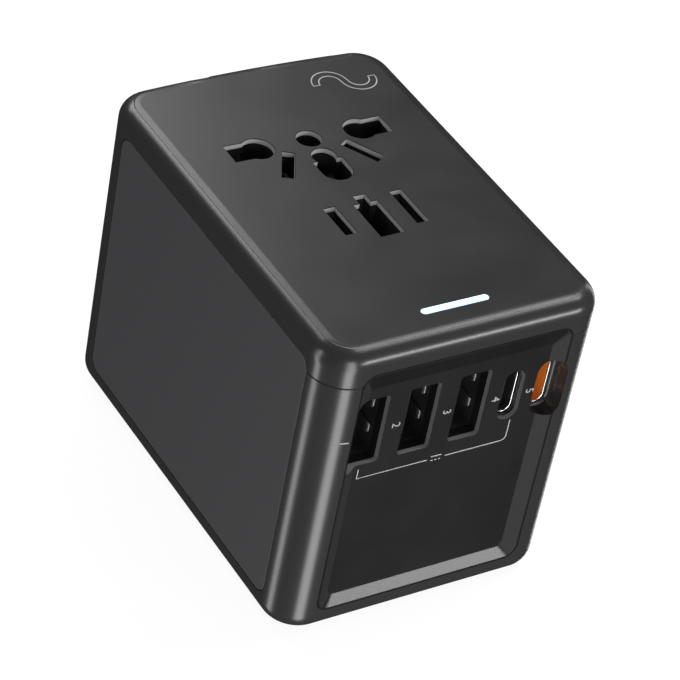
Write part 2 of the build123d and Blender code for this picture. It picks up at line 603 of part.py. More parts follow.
# ---- contact carrier: moulded wells for the outlet's contacts on a wide flange
well_top = CARRIER_Z1 + 1
with BuildPart() as contact_carrier:
    add(slab(-CARRIER_X, CARRIER_X, CARRIER_Y0, CARRIER_Y1, CARRIER_Z0, CARRIER_Z1))
    add(slab(FLANGE_X0, FLANGE_X1, FLANGE_Y0, FLANGE_Y1, CARRIER_Z0, CARRIER_Z0 + CARRIER_FLOOR))
    well_y = (CARRIER_Y0 + 1.2, CARRIER_Y1 - 1.2)
    add(slab(-EARTH_WELL, EARTH_WELL, *well_y, LEAF_Z, well_top), mode=Mode.SUBTRACT)
    for side in (-1, 1):
        well_x = (side * (EARTH_WELL + WELL_WALL), side * (CARRIER_X - 1.2))
        add(slab(*well_x, *well_y, LEAF_Z, well_top), mode=Mode.SUBTRACT)
        add(slab(side * 9.4, side * 10.6, -2, 0, CARRIER_Z0 - 1, LEAF_Z + 1), mode=Mode.SUBTRACT)
        for screw_y in DECK_SCREW_Y:
            tab_x = (side * CARRIER_X, side * (DECK_SCREW_X + 1.8))
            add(slab(*tab_x, screw_y - 2, screw_y + 2, CARRIER_Z1 - TAB_T, CARRIER_Z1))
            add(rod(side * DECK_SCREW_X, screw_y, CARRIER_Z1 - 2, well_top, 1.0), mode=Mode.SUBTRACT)
    add(slab(0.4, 1.6, -1.4, -0.2, CARRIER_Z0 - 1, LEAF_Z + 1), mode=Mode.SUBTRACT)
    for rod_x, rod_y in RODS:
        add(rod(rod_x, rod_y, CARRIER_Z0 - 1, ROD_TOP, ROD_R + 0.02), mode=Mode.SUBTRACT)
save(contact_carrier.part, "contact_carrier")

with BuildPart() as deck_screws:
    for side in (-1, 1):
        for screw_y in DECK_SCREW_Y:
            add(rod(side * DECK_SCREW_X, screw_y, CARRIER_Z1 - TAB_T, DECK_Z + 1.2, SCREW_R))
            add(rod(side * DECK_SCREW_X, screw_y, CARRIER_Z1 - TAB_T - 1, CARRIER_Z1 - TAB_T, SCREW_HEAD_R))
save(deck_screws.part, "deck_screws")


def line_contact(side):
    """One pole of the outlet: a strip with a pair of leaves for each kind of pin."""
    with BuildPart() as contact:
        strip_x = (side * (EARTH_WELL + WELL_WALL + 0.1), side * (CARRIER_X - 1.4))
        add(slab(*strip_x, CARRIER_Y0 + 1.4, CARRIER_Y1 - 1.4, LEAF_Z, LEAF_Z + STRIP_T))
        for edge in (-1, 1):
            leaf_y = PLAN_Y + UK_Y + edge * 2.2
            add(slab(side * 7.0, side * 14.6, leaf_y, leaf_y + edge * LEAF_T, LEAF_Z, LEAF_TOP))
            leaf_x = side * US_X + edge * 0.8
            us_y = PLAN_Y + US_Y
            add(slab(leaf_x, leaf_x + edge * LEAF_T, us_y - 2.5, us_y + 2.5, LEAF_Z, LEAF_TOP))
        with BuildSketch(Plane.XY.offset(LEAF_Z)):
            with Locations(Location((side * AU_X, PLAN_Y + AU_Y), side * AU_TILT)):
                with Locations((-1.05, 0), (1.05, 0)):
                    Rectangle(LEAF_T, 4.2)
        extrude(amount=LEAF_TOP - LEAF_Z)
    return contact.part


save(line_contact(1), "live_contact")
save(line_contact(-1), "neutral_contact")

with BuildPart() as earth_contact:
    add(slab(-2.9, 2.9, PLAN_Y - 11.8, PLAN_Y + 12.5, LEAF_Z, LEAF_Z + STRIP_T))
    for side in (-1, 1):
        leaf_x = (side * 2.25, side * (2.25 + LEAF_T))
        add(slab(*leaf_x, PLAN_Y - 11.0, PLAN_Y - 4.0, LEAF_Z, LEAF_TOP))
        leaf_x = (side * 2.7, side * 3.0)
        add(slab(*leaf_x, PLAN_Y + 4.2, PLAN_Y + 9.0, LEAF_Z, LEAF_TOP))
save(earth_contact.part, "earth_contact")


def line_bus_bar(side):
    """Sheet brass under the carrier with a leg beside each plug's pin, met when the plug is out."""
    legs = (
        (UK_X + UK_PIN_L / 2, UK_PLUG_Y),
        (EU_PIN_X + EU_PIN_R, EU_PLUG_Y),
        (US_X + COLLAR_R, US_PLUG_Y),
    )
    with BuildPart() as bar:
        rail_z = (CARRIER_Z0 - RAIL_T, CARRIER_Z0)
        add(slab(side * 10.8, side * 14.9, US_PLUG_Y - LEG_W / 2, UK_PLUG_Y + LEG_W / 2, *rail_z))
        for pin_edge, pin_y in legs:
            leg_x = (side * (pin_edge + LEG_GAP), side * (pin_edge + LEG_GAP + RAIL_T))
            leg_y = (pin_y - LEG_W / 2, pin_y + LEG_W / 2)
            add(slab(*leg_x, *leg_y, LEG_Z, CARRIER_Z0))
        add(slab(side * 9.5, side * 10.5, -1.9, -0.1, CARRIER_Z0 - RAIL_T, LEAF_Z))
        add(slab(side * 9.5, side * 11.0, -1.9, -0.1, *rail_z))
    return bar.part


save(line_bus_bar(1), "live_bus_bar")
save(line_bus_bar(-1), "neutral_bus_bar")

with BuildPart() as earth_bus_bar:
    leg_x = UK_EARTH_W / 2 + LEG_GAP
    leg_y = (UK_EARTH_Y - LEG_W / 2, UK_EARTH_Y + LEG_W / 2)
    add(slab(leg_x, leg_x + RAIL_T, *leg_y, LEG_Z, CARRIER_Z0))
    add(slab(0.5, leg_x + RAIL_T, *leg_y, CARRIER_Z0 - RAIL_T, CARRIER_Z0))
    add(slab(0.5, 1.5, -1.3, -0.3, CARRIER_Z0 - RAIL_T, LEAF_Z))
save(earth_bus_bar.part, "earth_bus_bar")

# ---- safety shutter over the live and neutral wells, and its return spring
shutter_z = (SHUTTER_Z0, SHUTTER_Z0 + SHUTTER_T)
with BuildPart() as safety_shutter:
    add(slab(-16.9, 16.9, PLAN_Y + 17.5, PLAN_Y + 19.1, *shutter_z))
    for side in (-1, 1):
        add(slab(side * 15.3, side * 16.9, PLAN_Y - 7.0, PLAN_Y + 19.1, *shutter_z))
        add(slab(side * 6.5, side * 16.9, PLAN_Y + 12.5, PLAN_Y + 19.1, *shutter_z))
        add(slab(side * 4.8, side * 16.9, PLAN_Y - 7.0, PLAN_Y - 3.2, *shutter_z))
    add(slab(-2.2, 2.2, PLAN_Y + 19.1, PLAN_Y + 19.9, 49.0, shutter_z[1]))
    ramp_edges = safety_shutter.edges().filter_by(Axis.X).group_by(Axis.Z)[-1]
    chamfer(ramp_edges.filter_by_position(Axis.Y, PLAN_Y - 7.1, PLAN_Y - 6.9), SHUTTER_RAMP)
    ramp_edges = safety_shutter.edges().filter_by(Axis.X).group_by(Axis.Z)[-1]
    chamfer(ramp_edges.filter_by_position(Axis.Y, PLAN_Y + 12.4, PLAN_Y + 12.6), SHUTTER_RAMP)
save(safety_shutter.part, "safety_shutter")

with BuildPart() as shutter_spring:
    with BuildLine() as spring_path:
        Helix(SPRING_PITCH, SPRING_L, SPRING_R, center=(0, PLAN_Y + 20.1, 50.55), direction=(0, 1, 0))
    with BuildSketch(Plane(origin=spring_path.line @ 0, z_dir=spring_path.line % 0)):
        Circle(SPRING_WIRE / 2)
    sweep(is_frenet=True)
save(shutter_spring.part, "shutter_spring")


# ---- folding plugs
def slider_arm(slider_y):
    """The arm that carries a knob, rising from its carriage beside the +X wall."""
    arm_y = (slider_y - ARM_W / 2, slider_y + ARM_W / 2)
    with BuildPart() as arm:
        add(slab(ARM_X0, ARM_X1, *arm_y, CARRIAGE_Z, KNOB_Z + STEM_L / 2))
        add(slab(ARM_ROOT_X, ARM_X1, *arm_y, CARRIAGE_Z, CARRIAGE_TOP))
    return arm.part


def knob(slider_y):
    """A ribbed knob with its stem, clipped to the arm's side through the slot."""
    cap_x = (WIDTH / 2 + 0.06, WIDTH / 2 + KNOB_PROUD)
    with BuildPart() as grip:
        cap_y = (slider_y - KNOB_W / 2, slider_y + KNOB_W / 2)
        add(slab(*cap_x, *cap_y, KNOB_Z - KNOB_L / 2, KNOB_Z + KNOB_L / 2))
        fillet(grip.edges().filter_by(Axis.X), 1.2)
        fillet(grip.faces().sort_by(Axis.X)[-1].outer_wire().edges(), 0.4)
        for step in (-2, -1, 0, 1, 2):
            rib_z = KNOB_Z + step * RIB_PITCH
            groove_z = (rib_z - RIB_GROOVE / 2, rib_z + RIB_GROOVE / 2)
            groove_x = (cap_x[1] - RIB_DEPTH, cap_x[1] + 2)
            add(slab(*groove_x, slider_y - 2.9, slider_y + 2.9, *groove_z), mode=Mode.SUBTRACT)
        stem_y = (slider_y - STEM_W / 2, slider_y + STEM_W / 2)
        add(slab(ARM_X1, cap_x[0] + 0.2, *stem_y, KNOB_Z - STEM_L / 2, KNOB_Z + STEM_L / 2))
    return grip.part


def leg_notch(pin_edge, overlap, plug_y, side):
    """The gap in a carriage that lets a bus bar's leg reach the side of a pin."""
    notch_x = (side * (pin_edge - overlap), side * (pin_edge + RAIL_T + 2 * LEG_GAP + 0.3))
    return slab(*notch_x, plug_y - 1.6, plug_y + 1.6, *THROUGH_CARRIAGE)


def rod_bores(rods):
    """The bores of a carriage on its guide rods."""
    with BuildPart() as bores:
        for rod_x, rod_y in rods:
            add(rod(rod_x, rod_y, *THROUGH_CARRIAGE, ROD_R + ROD_FIT))
    return bores.part


for plug, slider_y in SLIDER_Y.items():
    save(knob(slider_y), f"{plug}_knob")

with BuildPart() as uk_carriage:
    add(slab(-20.6, ARM_X1, 18.4, 24.8, CARRIAGE_Z, CARRIAGE_TOP))
    add(slab(-20.6, -16.6, -6.0, 24.8, CARRIAGE_Z, CARRIAGE_TOP))
    add(slab(-20.6, 3.8, -6.0, 5.4, CARRIAGE_Z, CARRIAGE_TOP))
    add(slider_arm(SLIDER_Y["uk"]))
    pin_y = (UK_PLUG_Y - UK_PIN_W / 2, UK_PLUG_Y + UK_PIN_W / 2)
    for side in (-1, 1):
        pin_x = (side * UK_X - UK_PIN_L / 2, side * UK_X + UK_PIN_L / 2)
        add(slab(*pin_x, *pin_y, *THROUGH_CARRIAGE), mode=Mode.SUBTRACT)
        add(leg_notch(UK_X + UK_PIN_L / 2, 0.2, UK_PLUG_Y, side), mode=Mode.SUBTRACT)
    earth_y = (UK_EARTH_Y - UK_EARTH_L / 2, UK_EARTH_Y + UK_EARTH_L / 2)
    add(slab(-UK_EARTH_W / 2, UK_EARTH_W / 2, *earth_y, *THROUGH_CARRIAGE), mode=Mode.SUBTRACT)
    add(leg_notch(UK_EARTH_W / 2, 0.2, UK_EARTH_Y, 1), mode=Mode.SUBTRACT)
    add(rod_bores(RODS[:2]), mode=Mode.SUBTRACT)
save(uk_carriage.part, "uk_carriage")

with BuildPart() as eu_carriage:
    add(slab(-15.4, ARM_X1, 6.0, 14.0, CARRIAGE_Z, CARRIAGE_TOP))
    add(slab(ARM_ROOT_X, ARM_X1, SLIDER_Y["eu"] - ARM_W / 2, 14.0, CARRIAGE_Z, CARRIAGE_TOP))
    add(slider_arm(SLIDER_Y["eu"]))
    for side in (-1, 1):
        add(rod(side * EU_PIN_X, EU_PLUG_Y, *THROUGH_CARRIAGE, EU_PIN_R), mode=Mode.SUBTRACT)
        add(leg_notch(EU_PIN_X + EU_PIN_R, 0.8, EU_PLUG_Y, side), mode=Mode.SUBTRACT)
    add(rod_bores(RODS[2:4]), mode=Mode.SUBTRACT)
save(eu_carriage.part, "eu_carriage")

collar_z = (CARRIAGE_TOP - COLLAR_T - 0.1, CARRIAGE_TOP + 1)
with BuildPart() as us_carriage:
    add(slab(-19.6, ARM_X1, -19.4, -6.7, CARRIAGE_Z, CARRIAGE_TOP))
    add(slider_arm(SLIDER_Y["us"]))
    for side in (-1, 1):
        add(rod(side * US_X, US_PLUG_Y, *THROUGH_CARRIAGE, ROTOR_R + ROD_FIT), mode=Mode.SUBTRACT)
        add(rod(side * US_X, US_PLUG_Y, *collar_z, COLLAR_R + ROD_FIT), mode=Mode.SUBTRACT)
        add(leg_notch(US_X + COLLAR_R, 0.6, US_PLUG_Y, side), mode=Mode.SUBTRACT)
    add(rod_bores(RODS[4:]), mode=Mode.SUBTRACT)
save(us_carriage.part, "us_carriage")

with BuildPart() as guide_rods:
    for rod_x, rod_y in RODS:
        add(rod(rod_x, rod_y, ROD_FOOT, ROD_TOP, ROD_R))
save(guide_rods.part, "guide_rods")

# ---- UK plug pins: brass with a black sleeve let into the line pins
with BuildPart() as uk_line_pins:
    for side in (-1, 1):
        tip = TRAVEL - UK_REACH
        half_x, half_y = UK_PIN_L / 2, UK_PIN_W / 2
        with BuildPart(mode=Mode.PRIVATE) as pin:
            add(slab(-half_x, half_x, -half_y, half_y, tip, tip + SLEEVE_FROM))
            chamfer(pin.faces().sort_by(Axis.Z)[0].edges(), 0.9)
            thin_x, thin_y = half_x - SLEEVE_T, half_y - SLEEVE_T
            add(slab(-thin_x, thin_x, -thin_y, thin_y, tip + SLEEVE_FROM, CARRIAGE_Z))
            add(slab(-half_x, half_x, -half_y, half_y, CARRIAGE_Z, CARRIAGE_TOP))
        with Locations((side * UK_X, UK_PLUG_Y)):
            add(pin.part)
save(uk_line_pins.part, "uk_line_pins")

with BuildPart() as uk_pin_sleeves:
    sleeve_z = TRAVEL - UK_REACH + SLEEVE_FROM
    with BuildSketch(Plane.XY.offset(sleeve_z)):
        with Locations((-UK_X, UK_PLUG_Y), (UK_X, UK_PLUG_Y)):
            Rectangle(UK_PIN_L, UK_PIN_W)
            Rectangle(UK_PIN_L - 2 * SLEEVE_T, UK_PIN_W - 2 * SLEEVE_T, mode=Mode.SUBTRACT)
    extrude(amount=CARRIAGE_Z - sleeve_z)
save(uk_pin_sleeves.part, "uk_pin_sleeves")

with BuildPart() as uk_earth_pin:
    add(slab(-UK_EARTH_W / 2, UK_EARTH_W / 2, *earth_y, TRAVEL - UK_EARTH_REACH, CARRIAGE_TOP))
    chamfer(uk_earth_pin.faces().sort_by(Axis.Z)[0].edges(), 1.0)
save(uk_earth_pin.part, "uk_earth_pin")

# ---- European plug pins, round, with sleeves let in
with BuildPart() as eu_pins:
    for side in (-1, 1):
        tip = TRAVEL - EU_REACH
        with BuildPart(mode=Mode.PRIVATE) as pin:
            add(rod(0, 0, tip, tip + SLEEVE_FROM, EU_PIN_R))
            fillet(pin.faces().sort_by(Axis.Z)[0].edges(), 1.8)
            add(rod(0, 0, tip + SLEEVE_FROM, CARRIAGE_Z, EU_PIN_R - SLEEVE_T))
            add(rod(0, 0, CARRIAGE_Z, CARRIAGE_TOP, EU_PIN_R))
        with Locations((side * EU_PIN_X, EU_PLUG_Y)):
            add(pin.part)
save(eu_pins.part, "eu_pins")

with BuildPart() as eu_pin_sleeves:
    sleeve_z = TRAVEL - EU_REACH + SLEEVE_FROM
    with BuildSketch(Plane.XY.offset(sleeve_z)):
        with Locations((-EU_PIN_X, EU_PLUG_Y), (EU_PIN_X, EU_PLUG_Y)):
            Circle(EU_PIN_R)
            Circle(EU_PIN_R - SLEEVE_T, mode=Mode.SUBTRACT)
    extrude(amount=CARRIAGE_Z - sleeve_z)
save(eu_pin_sleeves.part, "eu_pin_sleeves")

# ---- flat blades, each in a rotor that twists in the carriage
blade_y = (US_PLUG_Y - BLADE_L / 2, US_PLUG_Y + BLADE_L / 2)
collar_z = (CARRIAGE_TOP - COLLAR_T, CARRIAGE_TOP)
for side, place in ((-1, "left"), (1, "right")):
    blade_x = (side * US_X - BLADE_T / 2, side * US_X + BLADE_T / 2)
    with BuildPart() as blade:
        add(slab(*blade_x, *blade_y, TRAVEL - US_REACH, collar_z[0]))
        chamfer(blade.faces().sort_by(Axis.Z)[0].edges(), 0.4)
        add(rod(side * US_X, US_PLUG_Y, *collar_z, COLLAR_R))
    save(blade.part, f"us_blade_{place}")
    with BuildPart() as rotor:
        add(rod(side * US_X, US_PLUG_Y, CARRIAGE_Z, collar_z[0], ROTOR_R))
        add(slab(*blade_x, *blade_y, *THROUGH_CARRIAGE), mode=Mode.SUBTRACT)
    save(rotor.part, f"us_rotor_{place}")

# ---- fuse drawer in the base, with the fuse in use above and a spare below
with BuildPart() as fuse_drawer:
    flange_y = (FUSE_Y - DRAWER_FLANGE_W, FUSE_Y + DRAWER_FLANGE_W)
    add(slab(-DRAWER_FLANGE_L, DRAWER_FLANGE_L, *flange_y, 0.2, BASE_SINK))
    fillet(fuse_drawer.faces().sort_by(Axis.Z)[0].edges(), SOFT_EDGE)
    tray_y = (FUSE_Y - DRAWER_HALF_W, FUSE_Y + DRAWER_HALF_W)
    add(slab(-DRAWER_HALF_L, DRAWER_HALF_L, *tray_y, BASE_SINK, 13.0))
    bay_x = (-FUSE_L / 2 - 0.1, FUSE_L / 2 + 0.1)
    bay_r = FUSE_CAP_R + 0.05
    for fuse_z in (FUSE_Z, SPARE_Z):
        with BuildSketch(Plane.YZ.offset(bay_x[0])):
            with Locations((FUSE_Y, fuse_z)):
                Circle(bay_r)
        extrude(amount=bay_x[1] - bay_x[0], mode=Mode.SUBTRACT)
    add(slab(*bay_x, FUSE_Y - bay_r, FUSE_Y + bay_r, FUSE_Z, 14), mode=Mode.SUBTRACT)
    add(slab(*bay_x, FUSE_Y - 4, FUSE_Y, SPARE_Z - bay_r, SPARE_Z + bay_r), mode=Mode.SUBTRACT)
    for side in (-1, 1):
        clip_bay = slab(side * 5.5, side * 9.9, FUSE_Y - 4, FUSE_Y + 4, 8.2, 14)
        add(clip_bay, mode=Mode.SUBTRACT)
    fingernail_notch = slab(-3, 3, flange_y[0] - 0.1, flange_y[0] + 0.7, 0, 0.9)
    add(fingernail_notch, mode=Mode.SUBTRACT)
save(fuse_drawer.part, "fuse_drawer")

for name, fuse_z in (("cartridge_fuse", FUSE_Z), ("spare_fuse", SPARE_Z)):
    with BuildPart() as fuse:
        for radius, x0, length in (
            (FUSE_CAP_R, -FUSE_L / 2, FUSE_CAP_L),
            (FUSE_R, -FUSE_L / 2 + FUSE_CAP_L, FUSE_L - 2 * FUSE_CAP_L),
            (FUSE_CAP_R, FUSE_L / 2 - FUSE_CAP_L, FUSE_CAP_L),
        ):
            with BuildSketch(Plane.YZ.offset(x0)):
                with Locations((FUSE_Y, fuse_z)):
                    Circle(radius)
            extrude(amount=length)
    save(fuse.part, name)

with BuildPart() as fuse_clips:
    for side in (-1, 1):
        clip_x = (side * 6.0, side * 9.4)
        for edge in (-1, 1):
            leaf_y = FUSE_Y + edge * (FUSE_CAP_R + 0.1)
            add(slab(*clip_x, leaf_y, leaf_y + edge * 0.4, 8.8, 14.8))
        add(slab(*clip_x, FUSE_Y - 3.1, USB_BOARD_Y, 14.2, 14.8))
save(fuse_clips.part, "fuse_clips")
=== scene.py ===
import json
import math

import bmesh
import bpy
from bpy.props import FloatProperty, FloatVectorProperty, PointerProperty
from mathutils import Matrix, Vector


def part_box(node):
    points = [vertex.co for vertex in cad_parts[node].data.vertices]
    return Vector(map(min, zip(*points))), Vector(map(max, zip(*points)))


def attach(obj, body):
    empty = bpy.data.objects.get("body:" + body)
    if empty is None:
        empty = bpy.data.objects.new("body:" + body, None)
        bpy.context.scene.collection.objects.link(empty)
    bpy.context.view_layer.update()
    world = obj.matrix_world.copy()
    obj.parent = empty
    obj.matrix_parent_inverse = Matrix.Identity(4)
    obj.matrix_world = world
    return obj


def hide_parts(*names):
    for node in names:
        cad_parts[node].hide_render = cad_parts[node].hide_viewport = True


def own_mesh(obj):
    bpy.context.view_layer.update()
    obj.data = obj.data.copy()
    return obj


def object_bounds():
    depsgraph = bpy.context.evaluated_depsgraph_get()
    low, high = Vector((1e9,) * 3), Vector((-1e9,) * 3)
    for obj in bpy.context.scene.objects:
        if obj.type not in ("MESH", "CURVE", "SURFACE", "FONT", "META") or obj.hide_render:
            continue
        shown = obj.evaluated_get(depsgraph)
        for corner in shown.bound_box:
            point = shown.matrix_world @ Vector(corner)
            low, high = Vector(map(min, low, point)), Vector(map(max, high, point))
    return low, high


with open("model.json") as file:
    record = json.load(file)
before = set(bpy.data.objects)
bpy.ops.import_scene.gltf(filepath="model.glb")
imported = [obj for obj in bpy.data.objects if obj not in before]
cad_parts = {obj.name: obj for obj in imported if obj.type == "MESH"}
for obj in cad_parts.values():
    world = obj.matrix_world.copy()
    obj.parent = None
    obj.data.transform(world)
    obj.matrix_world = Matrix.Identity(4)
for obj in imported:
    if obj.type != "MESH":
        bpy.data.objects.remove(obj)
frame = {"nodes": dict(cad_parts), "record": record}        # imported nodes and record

bl_info = {
    "name": "Travel adapter builder",
    "version": (1, 0, 0),
    "blender": (4, 5, 0),
    "location": "3D View > Sidebar > Adapter",
    "description": "Finishes and detail pieces of a universal travel adapter around its fixed frame",
    "category": "Object",
}

CAD_BOX = [list(corner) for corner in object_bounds()]
MM = 0.001
CAD_SLOTS = {entry["node"]: entry["material_slot"] for entry in frame["record"]["subparts"]}
INK = 0.02 * MM  # how far printed marks stand proud

LOW, HIGH = (Vector(corner) for corner in CAD_BOX)
TOP = HIGH.z
DISH_DEPTH = 1.2 * MM
DISH_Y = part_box("front_panel")[0][1] + DISH_DEPTH  # floor of the front panel's dish
CORNER_R = 6.2 * MM  # the housing's upright corners
SHELL_WALL = 0.3 * MM  # sheet of a large port's shell
PORTS = [[Vector(corner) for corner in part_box(f"usb_{kind}_shell_{number}")]
         for kind, count in (("a", 3), ("c", 2)) for number in range(1, count + 1)]
PORT_Z = (PORTS[0][0].z + PORTS[0][1].z) / 2


# ---------------------------------------------------------------- settings
class AdapterFinishes(bpy.types.PropertyGroup):
    """Colours of the adapter's finishes."""

    gloss_black: FloatVectorProperty(
        name="Gloss black", description="Ring and pillars",
        subtype="COLOR", size=3, default=(0.012, 0.012, 0.013),
    )
    plate_grey: FloatVectorProperty(
        name="Plate grey", description="Satin outlet plate",
        subtype="COLOR", size=3, default=(0.020, 0.020, 0.021),
    )
    panel_grey: FloatVectorProperty(
        name="Panel grey", description="Matte side panels",
        subtype="COLOR", size=3, default=(0.015, 0.015, 0.016),
    )
    # Painted highlight: the pale colour painted on the outlet plate's upright faces, the walls of its slots
    # among them.
    cut_grey: FloatVectorProperty(
        name="Cut grey", description="Walls of the outlet's slots",
        subtype="COLOR", size=3, default=(0.5, 0.5, 0.51),
    )
    # Painted highlight: the pale colour painted on the front panel's bevels and half-forward slopes.
    bevel_grey: FloatVectorProperty(
        name="Bevel grey", description="Lead-in bevels of the ports",
        subtype="COLOR", size=3, default=(0.09, 0.09, 0.093),
    )
    print_white: FloatVectorProperty(
        name="Print white", description="Printed marks", subtype="COLOR", size=3, default=(0.42, 0.43, 0.44)
    )
    lamp_glow: FloatVectorProperty(
        name="Lamp glow", description="Light of the power lamp",
        subtype="COLOR", size=3, default=(0.35, 0.9, 1.0),
    )
    tongue_orange: FloatVectorProperty(
        name="Tongue orange", description="Tongue of the fast port",
        subtype="COLOR", size=3, default=(1.0, 0.26, 0.02),
    )


class AdapterMarks(bpy.types.PropertyGroup):
    """Sizes of the printed marks and of the ports' small parts."""

    numeral_height: FloatProperty(
        name="Numeral height", description="Height of a port's number", unit="LENGTH", default=1.5 * MM
    )
    line_width: FloatProperty(
        name="Line width", description="Width of a printed line", unit="LENGTH", default=0.22 * MM
    )
    wave_length: FloatProperty(
        name="Wave length", description="Length of the outlet's wave mark", unit="LENGTH", default=10.5 * MM
    )
    rim_radius: FloatProperty(
        name="Rim radius", description="Rolled front edge of a port's shell",
        unit="LENGTH", default=0.17 * MM,
    )
    spring_width: FloatProperty(
        name="Spring width", description="Width of a port's spring tab", unit="LENGTH", default=2.7 * MM
    )


class AdapterStudio(bpy.types.PropertyGroup):
    """Camera and light of the studio."""

    azimuth: FloatProperty(
        name="Azimuth", description="Camera's turn about Z", subtype="ANGLE", default=math.radians(37.40)
    )
    elevation: FloatProperty(
        name="Elevation", description="Camera's height above level",
        subtype="ANGLE", default=math.radians(37.70),
    )
    roll: FloatProperty(
        name="Roll", description="Camera's turn about its own axis",
        subtype="ANGLE", default=math.radians(11.593),
    )
    distance: FloatProperty(
        name="Distance", description="From the aimed point to the lens", unit="LENGTH", default=0.4851
    )
    aim: FloatVectorProperty(
        name="Aim", description="Point on the lens axis",
        subtype="XYZ", size=3, default=(0.00170, -0.00210, 0.02718),
    )
    lens: FloatProperty(name="Lens", description="Focal length in mm", default=156.8)
    fill: FloatProperty(name="Fill", description="Strength of the even light", default=0.03)


# ---------------------------------------------------------------- shader helpers
def new_material(name):
    """An empty node material with its Principled shader; returns (material, tree, shader)."""
    material = bpy.data.materials.new(name)
    material.use_nodes = True
    tree = material.node_tree
    tree.nodes.clear()
    output = tree.nodes.new("ShaderNodeOutputMaterial")
    shader = tree.nodes.new("ShaderNodeBsdfPrincipled")
    tree.links.new(shader.outputs["BSDF"], output.inputs["Surface"])
    return material, tree, shader


def node(tree, kind, **values):
    """A node with its settings and input values set by name."""
    made = tree.nodes.new(kind)
    for key, value in values.items():
        if key in made.inputs:
            made.inputs[key].default_value = value
        else:
            setattr(made, key, value)
    return made


def moulded_grain_group():
    """Fine spark-eroded grain of a moulded part: a bumped normal and a mask of its patches."""
    name = "moulded_grain"
    if name in bpy.data.node_groups:
        return bpy.data.node_groups[name]
    group = bpy.data.node_groups.new(name, "ShaderNodeTree")
    face = group.interface
    face.new_socket("Scale", in_out="INPUT", socket_type="NodeSocketFloat").default_value = 4000.0
    face.new_socket("Depth", in_out="INPUT", socket_type="NodeSocketFloat").default_value = 0.1
    face.new_socket("Normal", in_out="OUTPUT", socket_type="NodeSocketVector")
    face.new_socket("Patches", in_out="OUTPUT", socket_type="NodeSocketFloat")
    enter = group.nodes.new("NodeGroupInput")
    leave = group.nodes.new("NodeGroupOutput")
    place = group.nodes.new("ShaderNodeTexCoord")
    fine = node(group, "ShaderNodeTexNoise", Detail=3.0, Roughness=0.6)
    broad = node(group, "ShaderNodeTexNoise", Scale=90.0, Detail=4.0, Roughness=0.55)
    bump = node(group, "ShaderNodeBump", Distance=0.00002)
    group.links.new(place.outputs["Object"], fine.inputs["Vector"])
    group.links.new(place.outputs["Object"], broad.inputs["Vector"])
    group.links.new(enter.outputs["Scale"], fine.inputs["Scale"])
    group.links.new(enter.outputs["Depth"], bump.inputs["Strength"])
    group.links.new(fine.outputs["Fac"], bump.inputs["Height"])
    group.links.new(bump.outputs["Normal"], leave.inputs["Normal"])
    group.links.new(broad.outputs["Fac"], leave.inputs["Patches"])
    return group


def spread(tree, source, low, high, low_out, high_out):
    """Maps a value's range to another range."""
    ramp = node(tree, "ShaderNodeMapRange")
    ramp.inputs["From Min"].default_value = low
    ramp.inputs["From Max"].default_value = high
    ramp.inputs["To Min"].default_value = low_out
    ramp.inputs["To Max"].default_value = high_out
    tree.links.new(source, ramp.inputs["Value"])
    return ramp.outputs["Result"]


def tint(tree, factor, first, second):
    """Mixes two colours by a factor."""
    mix = node(tree, "ShaderNodeMix", data_type="RGBA")
    mix.inputs[6].default_value = (*first, 1.0)
    mix.inputs[7].default_value = (*second, 1.0)
    tree.links.new(factor, mix.inputs[0])
    return mix.outputs[2]


def moulded(name, colour, roughness, grain=0.1, scale=4000.0, vary=0.04, metallic=0.0):
    """A moulded or plated finish with fine grain, patchy gloss and a slight change of shade."""
    if name in bpy.data.materials:
        return bpy.data.materials[name]
    material, tree, shader = new_material(name)
    effect = node(tree, "ShaderNodeGroup", node_tree=moulded_grain_group(), Scale=scale, Depth=grain)
    patches = effect.outputs["Patches"]
    rough = spread(tree, patches, 0.3, 0.7, roughness - vary, roughness + vary)
    tree.links.new(rough, shader.inputs["Roughness"])
    shade = spread(tree, patches, 0.3, 0.7, 0.0, 1.0)
    darker = [channel * 0.92 for channel in colour]
    tree.links.new(tint(tree, shade, darker, colour), shader.inputs["Base Color"])
    tree.links.new(effect.outputs["Normal"], shader.inputs["Normal"])
    shader.inputs["Metallic"].default_value = metallic
    return material


def outlet_plate():
    """Satin plate with a painted highlight: its upright faces, the walls of its openings among them, are
    painted paler.
    """
    colours = bpy.context.scene.adapter_finishes
    material = moulded("outlet_plate", colours.plate_grey, 0.35, 0.10, 4200.0, 0.03)
    # Painted highlight: the plate's upright faces are painted pale.
    pale_where(material, "Z", (0.0, 0.5), colours.cut_grey)
    return material


def dished_panel():
    """Matte front panel in a darker copy of the side panels' grey as painted shade, with painted highlights
    on its bevels, smooth slopes above and below its dish, dull ones beside it.
    """
    colours = bpy.context.scene.adapter_finishes
    # Painted shade: the side panels' grey darkened to 0.6 for the front panel.
    darker = [channel * 0.6 for channel in colours.panel_grey]
    material = moulded("dished_panel", darker, 0.42, 0.12, 5000.0, 0.03)
    # Painted highlight: faces turned half forward, the ports' bevels among them, are painted pale.
    pale_where(material, "Y", (0.3, 0.7), colours.bevel_grey)
    rough_where(material, "Z", (0.25, 0.6), 0.28)
    rough_where(material, "X", (0.25, 0.6), 0.75)
    return material


def where(tree, axis, band):
    """A mask of the faces whose normal's share along an axis lies inside a band."""
    geometry = tree.nodes.new("ShaderNodeNewGeometry")
    split = tree.nodes.new("ShaderNodeSeparateXYZ")
    share = node(tree, "ShaderNodeMath", operation="ABSOLUTE")
    tree.links.new(geometry.outputs["Normal"], split.inputs["Vector"])
    tree.links.new(split.outputs[axis], share.inputs[0])
    inside = node(tree, "ShaderNodeMath", operation="COMPARE")
    inside.inputs[1].default_value = (band[0] + band[1]) / 2
    inside.inputs[2].default_value = (band[1] - band[0]) / 2
    tree.links.new(share.outputs["Value"], inside.inputs[0])
    return inside.outputs["Value"]


